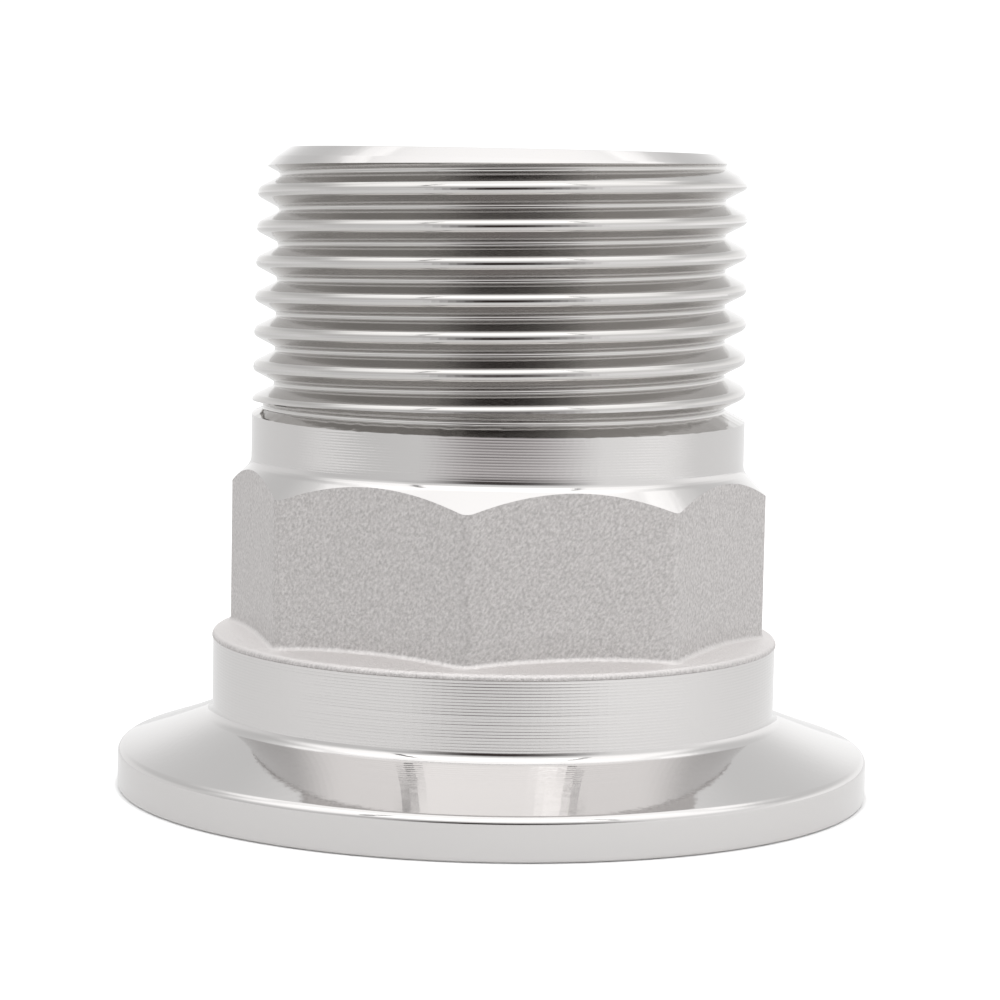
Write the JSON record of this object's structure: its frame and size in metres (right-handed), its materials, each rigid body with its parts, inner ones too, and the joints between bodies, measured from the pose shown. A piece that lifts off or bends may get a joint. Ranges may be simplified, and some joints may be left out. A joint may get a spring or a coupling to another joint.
{
  "type": "sanitary clamp adapter",
  "caption": "One-piece stainless pipe adapter: grooved clamp flange, round collar, octagonal wrench body and male pipe thread on a straight through bore.",
  "frame": {"origin": "centre of the clamp flange's face, on the bore axis", "axes": "+Z along the bore from the flange to the threaded end; +X and +Y square to wrench flats"},
  "size_m": [0.0506, 0.0506, 0.0428],
  "materials": {
    "stainless_steel": "turned stainless steel on the flange, collar, neck and thread, blasted casting on the octagon and its shoulder"
  },
  "bodies": {
    "root": {"adapter_body": "stainless_steel"}
  },
  "joints": []
}
